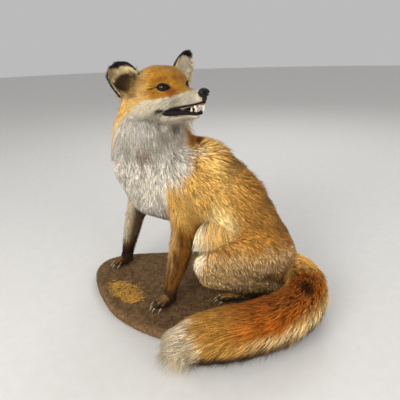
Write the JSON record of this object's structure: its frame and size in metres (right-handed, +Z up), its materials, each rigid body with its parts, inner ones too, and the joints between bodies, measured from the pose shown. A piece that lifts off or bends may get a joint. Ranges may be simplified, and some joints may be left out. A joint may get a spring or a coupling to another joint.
{
  "type": "taxidermy fox",
  "caption": "Sitting mounted fox with its head turned to one side, mouth a little open and bushy tail curled round an oval earth-covered base.",
  "frame": {"origin": "centre of the base's flat underside", "axes": "+Z up, -Y the way the fox's body faces, +X the fox's left side, where its head looks and its tail curls"},
  "size_m": [0.4324, 0.5199, 0.5246],
  "materials": {
    "coat_red": "soft fur",
    "coat_tan": "soft fur",
    "coat_white": "soft fur",
    "coat_dark": "soft fur",
    "ear": "short fur",
    "earth": "rough earth texture",
    "straw": "dry fibres",
    "glass_eye": "polished",
    "nose_leather": "moist, fine pebbled",
    "enamel": "satin",
    "tongue": "satin"
  },
  "bodies": {
    "root": {"base_plate": "earth", "straw_patch": "straw", "trunk": "coat_tan", "neck": "coat_white", "head": "coat_red", "lower_jaw": "coat_white", "nose_pad": "nose_leather", "teeth_upper": "enamel", "teeth_lower": "enamel", "tongue": "tongue", "eye_left": "glass_eye", "eye_right": "glass_eye", "ear_left": "ear", "ear_right": "ear", "foreleg_upper_left": "coat_tan", "foreleg_upper_right": "coat_tan", "foreleg_lower_left": "coat_red", "foreleg_lower_right": "coat_red", "forepaw_left": "coat_dark", "forepaw_right": "coat_dark", "thigh_left": "coat_tan", "thigh_right": "coat_tan", "shank_left": "coat_tan", "shank_right": "coat_tan", "hind_foot_left": "coat_dark", "hind_foot_right": "coat_dark", "tail_1": "coat_tan", "tail_2": "coat_tan", "tail_3": "coat_tan", "tail_tip": "coat_white"}
  },
  "joints": []
}
